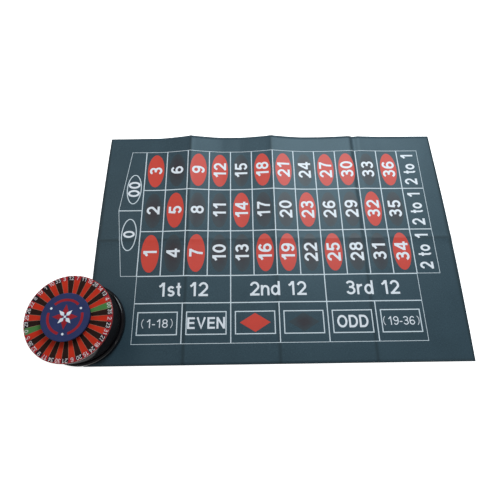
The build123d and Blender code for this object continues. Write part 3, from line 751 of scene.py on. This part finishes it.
red_shapes.append(polygon(diamond(outside_middles[2], diamond_wide, diamond_high)))
black_shapes.append(polygon(diamond(outside_middles[3], diamond_wide, diamond_high)))
red_prints = printed_on_felt("red_prints", red_shapes, red_ink)
black_prints = printed_on_felt("black_prints", black_shapes, black_ink)
faded_wide, faded_high = 0.44 * cell, 0.17 * outside
rims = [(*place, oval_wide / 2, oval_high / 2) for place in number_places.values()]
rims.append((*outside_middles[3], faded_wide, faded_high))


def rim_reach(x, y):
    """How far out a place lies in the nearest black shape: 0 at its middle, 1 at its rim."""
    return min(1.0, min(math.hypot((x - middle_x) / wide, (y - middle_y) / high)
                        for middle_x, middle_y, wide, high in rims))


reaches = black_prints.data.attributes.new("reach", "FLOAT", "POINT")
for vert, stored in zip(black_prints.data.vertices, reaches.data):
    stored.value = rim_reach(vert.co.x, vert.co.y)

# %% [markdown]
# ## Numbers and words on the table
# The numbers lie on their side, to be read from the left, and sit above the ovals' ink.

# %% Print the words
quarter = math.pi / 2
number_height, dozen_height, span_height = 0.585 * cell, 0.60 * cell, 0.35 * cell
side_middle = 12.48
word_shapes = []
for number, place in number_places.items():
    word_shapes += word(str(number), number_height, place, quarter)
for line in range(lines):
    word_shapes += word("2 to 1", number_height, at(side_middle, (line + 0.5) * row), quarter,
                        most=0.80 * row, gap=0.115)
word_shapes += word("00", 0.54 * cell, double_zero, quarter, most=0.45 * row)
word_shapes += word("0", 0.51 * cell, (single_zero[0], single_zero[1] + 0.0006), quarter)
for column, name in ((2, "1st 12"), (6, "2nd 12"), (10, "3rd 12")):
    word_shapes += word(name, dozen_height, at(column, depth + dozen / 2), thick=0.15, gap=0.10)
word_shapes += word("EVEN", 0.47 * cell, outside_middles[1], most=1.56 * cell)
word_shapes += word("ODD", 0.51 * cell, outside_middles[4], most=1.28 * cell)
for place, span, aside in ((outside_middles[0], "1-18", 0.60), (outside_middles[5], "19-36", 0.71)):
    span_most = (0.22 * len(span) + 0.01) * cell
    word_shapes += word(span, span_height, place, thick=0.115, most=span_most)
    for mark, side in (("(", -aside), (")", aside)):
        word_shapes += word(mark, span_height, (place[0] + side * cell, place[1]), thick=0.07)
table_words = printed_on_felt("table_words", word_shapes, white_ink, lift=words_lift)

# %% [markdown]
# ## The dial's printed film
# The film is a thin flat ring in thirty-eight sectors. Spinning one radial line of points makes
# the whole ring with its faces in order, so each face can take its ink by its angle and radius.

# %% Dial facts
film_low, film_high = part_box("dial_film")
axis_x = (film_low.x + film_high.x) / 2
axis_y = (film_low.y + film_high.y) / 2
film_outer = (film_high.x - film_low.x) / 2
film_inner = 0.0320
band_inner = 0.0556
pockets = 38
dial_turn = math.radians(18.0)
sector = 2 * math.pi / pockets
dial_order = ["00", 4, 13, 14, 28, 16, 11, 7, 12, 3, 33, 10, 1, 19, 8, 22, 26, 25, 29,
              "0", 5, 36, 32, 9, 17, 34, 30, 21, 6, 20, 15, 24, 18, 27, 31, 23, 2, 35]
print("axis", round(1000 * axis_x, 2), round(1000 * axis_y, 2))
print("film radius", round(1000 * film_outer, 2), "mm")

# %% Inks of the film
def print_ink(name, colour):
    """Satin screen ink on plastic film, with a fine dot grain."""
    return moulded(name, colour, 0.38, grain=2600.0, depth=0.000008, specular=0.06, spot=0.07)


film_inks = [print_ink("wedge_red", (0.55, 0.032, 0.014)),
             print_ink("wedge_black", (0.024, 0.011, 0.009)),
             print_ink("wedge_green", (0.074, 0.210, 0.060)),
             print_ink("band_red", (0.40, 0.022, 0.028)),
             print_ink("band_black", (0.018, 0.012, 0.016)),
             print_ink("band_green", (0.095, 0.205, 0.090))]
red, black, green, bands = 0, 1, 2, 3
print(len(film_inks), "inks: wedges first, then the same three for the number band")

# %% Spin the film
shape = bmesh.new()
radii = (film_inner, 0.0400, 0.0480, band_inner, 0.0590, film_outer)
spokes = [shape.verts.new((radius, 0.0, film_high.z)) for radius in radii]
profile = [shape.edges.new(pair) for pair in zip(spokes, spokes[1:])]
bmesh.ops.spin(shape, geom=spokes + profile, cent=(0, 0, 0), axis=(0, 0, 1), angle=2 * math.pi,
               steps=pockets * 4, use_merge=True)
bmesh.ops.remove_doubles(shape, verts=shape.verts, dist=1e-6)
bmesh.ops.rotate(shape, verts=shape.verts, cent=(0, 0, 0),
                 matrix=Matrix.Rotation(dial_turn - sector / 2, 3, "Z"))
for face in shape.faces:
    centre = face.calc_center_median()
    turn_to = (math.atan2(centre.y, centre.x) - dial_turn + sector / 2) % (2 * math.pi)
    from_green = int(turn_to / sector) % (pockets // 2)
    colour = green if from_green == 0 else (red if from_green % 2 else black)
    face.material_index = colour + (bands if centre.xy.length > band_inner else 0)
    if face.normal.z < 0:
        face.normal_flip()
bmesh.ops.translate(shape, verts=shape.verts, vec=(axis_x, axis_y, 0.0))
number_film = piece_of("number_film", shape, *film_inks)
give_wall(number_film, "film_wall", film_high.z - film_low.z)
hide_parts("dial_film")
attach(number_film, "wheel_unit")
print("film faces", len(number_film.data.polygons))

# %% [markdown]
# ## Numbers and dividing lines on the film
# The numbers stand with their tops outwards. Thin pale lines part the wedges, and a red line
# runs round the rim. All of them are thin raised prints, like the ones on the felt.

# %% Raised prints on plastic
raised_wall = 0.00012
divider_lift, rim_lift, digit_lift = 0.00003, 0.00004, 0.00005


def raised_print(name, shapes, finish, height, body):
    """One print piece from flat shapes at a height, sunk a little into what carries it."""
    piece = joined_print(name, shapes, lambda x, y: height, finish, raised_wall,
                         moved=(axis_x, axis_y, 0.0))
    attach(piece, body)


def turned_copy(points, angle):
    """Flat face turned round the middle."""
    bm = polygon(points)
    bmesh.ops.rotate(bm, verts=bm.verts, cent=(0, 0, 0), matrix=Matrix.Rotation(angle, 3, "Z"))
    return bm


def spoke_place(radius, angle):
    """Place on a circle round the dial's middle."""
    return radius * math.cos(angle), radius * math.sin(angle)


print("raised prints are", raised_wall * 1000, "mm thick")

# %% Print the dial's numbers
digit_height, digit_ring, digit_thick = 0.0058, 0.0586, 0.125
most_wide = {1: 0.0038, 2: 0.0073}
number_shapes = []
for pocket, number in enumerate(dial_order):
    angle = dial_turn + pocket * sector
    digits = str(number)
    number_shapes += word(digits, digit_height, spoke_place(digit_ring, angle), angle - quarter,
                          thick=digit_thick, most=most_wide[len(digits)])
film_white = print_ink("film_white", (0.72, 0.67, 0.68))
raised_print("dial_numbers", number_shapes, film_white, film_high.z + digit_lift,
             "wheel_unit")

# %% Print the dividers and the rim line
divider_middle, divider_long = (film_inner + band_inner) / 2, band_inner - film_inner
divider_wide, rim_wide = 0.00045, 0.0007
divider = rectangle((divider_middle, 0.0), divider_long, divider_wide)
divider_shapes = [turned_copy(divider, dial_turn + (pocket + 0.5) * sector)
                  for pocket in range(pockets)]
pale_line = print_ink("divider_line", (0.30, 0.16, 0.11))
raised_print("dial_dividers", divider_shapes, pale_line, film_high.z + divider_lift,
             "wheel_unit")

rim_line = print_ink("rim_line", (0.40, 0.02, 0.02))
rim_shape = ring(oval((0.0, 0.0), 2 * film_outer, 2 * film_outer, 4 * pockets), rim_wide)
raised_print("dial_rim_line", [rim_shape], rim_line, film_high.z + rim_lift,
             "wheel_unit")

# %% [markdown]
# ## The button's printed disc
# The disc on top of the button is blue with a plain pattern in red and white: a small star of
# petals, three arcs and three dots. Simple faces turned round the middle make all of it.

# %% Print the button's disc
label_low, label_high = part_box("button_label")
mark_lift = 0.00004
mark_height = label_high.z + mark_lift
mark_ring, dot_size, arc_wide = 0.0238, 0.0034, 0.0036
thirds, dot_turn, arc_start, arc_end = (0, 120, 240), 30, 46, 134


def petal(start, end, wide):
    """Corners of a kite that points outwards."""
    widest = start + 0.35 * (end - start)
    return [(start, 0.0), (widest, -wide / 2), (end, 0.0), (widest, wide / 2)]


white_petal, red_petal = petal(0.0020, 0.0128, 0.0058), petal(0.0028, 0.0178, 0.0080)
dot = oval((mark_ring, 0.0), dot_size, dot_size, 20)
white_marks = [turned_copy(white_petal, quarter * (number + 0.5)) for number in range(4)]
white_marks += [turned_copy(dot, math.radians(third + dot_turn)) for third in thirds]
white_marks.append(polygon(oval((0, 0), dot_size, dot_size, 20)))
red_marks = [turned_copy(red_petal, quarter * number) for number in range(4)]
for third in thirds:
    bow = arc((0, 0), (mark_ring, mark_ring), third + arc_start, third + arc_end, 25)
    red_marks.append(stroke(bow, arc_wide))
label_white = print_ink("label_white", (0.80, 0.84, 0.92))
label_red = print_ink("label_red", (0.34, 0.020, 0.030))
raised_print("label_white_marks", white_marks, label_white, mark_height,
             "push_button")
raised_print("label_red_marks", red_marks, label_red, mark_height,
             "push_button")
print("the disc is", round(1000 * (label_high.x - label_low.x), 2), "mm across")

# %% [markdown]
# ## Finishes of the moulded and inner pieces
# The frame's own pieces already have the right shape, so they only need a finish. Gloss black
# styrene is nearly mirror smooth with a faint orange peel; everything inside gets its own too.

# %% Finishes by piece
finish_of = {
    "black_gloss": moulded("shell_black", (0.004, 0.0035, 0.005), 0.12, grain=350.0,
                           depth=0.00001, specular=0.0),
    "black_satin": moulded("wall_black", (0.0130, 0.0125, 0.0140), 0.34,
                           depth=0.00001, specular=0.0),
    "black_matte": moulded("inner_black", (0.020, 0.020, 0.020), 0.55),
    "white_matte": moulded("inner_white", (0.72, 0.72, 0.68), 0.60),
    "cell_jacket": moulded("cell_jacket", (0.035, 0.045, 0.065), 0.35, spot=0.2),
    "nickel_plate": moulded("nickel_plate", (0.62, 0.60, 0.55), 0.28, metallic=1.0),
    "spring_wire": moulded("spring_wire", (0.50, 0.50, 0.50), 0.32, metallic=1.0),
    "speaker_steel": moulded("speaker_steel", (0.42, 0.43, 0.44), 0.38, metallic=1.0),
    "speaker_paper": moulded("speaker_paper", (0.025, 0.022, 0.020), 0.9, depth=0.00006),
    "screw_steel": moulded("screw_steel", (0.45, 0.46, 0.48), 0.36, metallic=1.0),
    "foot_rubber": moulded("foot_rubber", (0.022, 0.022, 0.022), 0.85, depth=0.00004),
    "dial_clear": moulded("dial_clear", (0.22, 0.012, 0.014), 0.18, depth=0.000008),
    "board_green": moulded("board_green", (0.020, 0.095, 0.035), 0.35),
    "lamp_resin": moulded("lamp_resin", (0.70, 0.62, 0.50), 0.25),
    "board_part": moulded("board_part", (0.050, 0.045, 0.040), 0.5, spot=0.25),
    "button_blue": moulded("button_blue", (0.016, 0.018, 0.060), 0.30,
                           depth=0.00001, specular=0.12),
    "label_print": print_ink("label_blue", (0.032, 0.043, 0.128)),
    "lead_red": moulded("lead_red", (0.40, 0.02, 0.02), 0.45),
    "lead_black": moulded("lead_black", (0.015, 0.015, 0.015), 0.45),
    "lead_yellow": moulded("lead_yellow", (0.55, 0.38, 0.03), 0.45),
}
for name, shine in (("black_gloss", 0.55), ("black_satin", 0.14)):
    shader = finish_of[name].node_tree.nodes["Principled BSDF"]
    shader.inputs["Coat Weight"].default_value = shine
    shader.inputs["Coat Roughness"].default_value = 0.12
slot_of = {
    "base_shell": "black_gloss", "battery_door": "black_gloss", "battery_cells": "cell_jacket",
    "contact_plates": "nickel_plate", "contact_springs": "spring_wire",
    "speaker_frame": "speaker_steel", "speaker_magnet": "speaker_steel",
    "speaker_cone": "speaker_paper", "power_switch_body": "nickel_plate",
    "power_slider": "black_matte", "rubber_feet": "foot_rubber", "housing_screws": "screw_steel",
    "upper_shell": "black_satin", "dial_lens": "dial_clear", "light_baffle": "white_matte",
    "main_board": "board_green", "board_screws": "screw_steel", "number_lamps": "lamp_resin",
    "sound_chip": "black_matte", "board_parts": "board_part", "push_switch": "black_matte",
    "push_switch_plunger": "white_matte", "button_guide": "white_matte",
    "guide_screws": "screw_steel", "button_cap": "button_blue", "button_label": "label_print",
    "battery_leads": "lead_red", "speaker_leads": "lead_black", "switch_leads": "lead_yellow",
}
for name, slot_name in slot_of.items():
    materials = nodes[name].data.materials
    if len(materials):
        materials[0] = finish_of[slot_name]
    else:
        materials.append(finish_of[slot_name])
print(len(slot_of), "pieces of the frame have their finish")

# %% [markdown]
# ## The spring under the button
# The button rides down on its spring. The coil is spun here from round wire and gets a mesh of its
# own.

# %% Spin the button's spring
spring_low, spring_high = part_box("return_spring")
wire_radius, wire_sides, coil_turns, steps_each_turn = 0.0005, 10, 5, 32
coil_radius = (spring_high.x - spring_low.x) / 2 - wire_radius
climb = spring_high.z - spring_low.z - 2 * wire_radius
shape = bmesh.new()
bmesh.ops.create_circle(shape, segments=wire_sides, radius=wire_radius,
                        matrix=Matrix.Translation((coil_radius, 0.0, spring_low.z + wire_radius))
                        @ Matrix.Rotation(quarter, 4, "X"))
wire_steps = coil_turns * steps_each_turn
bmesh.ops.spin(shape, geom=shape.verts[:] + shape.edges[:], cent=(0, 0, 0), axis=(0, 0, 1),
               dvec=(0.0, 0.0, climb / wire_steps), angle=2 * math.pi * coil_turns,
               steps=wire_steps)
open_ends = [edge for edge in shape.edges if edge.is_boundary]
bmesh.ops.holes_fill(shape, edges=open_ends, sides=0)
bmesh.ops.recalc_face_normals(shape, faces=shape.faces)
bmesh.ops.translate(shape, verts=shape.verts, vec=(axis_x, axis_y, 0.0))
for face in shape.faces:
    face.smooth = len(face.verts) == 4
button_spring = piece_of("button_spring", shape, finish_of["spring_wire"])
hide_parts("return_spring")
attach(button_spring, "wheel_unit")
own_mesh(button_spring)
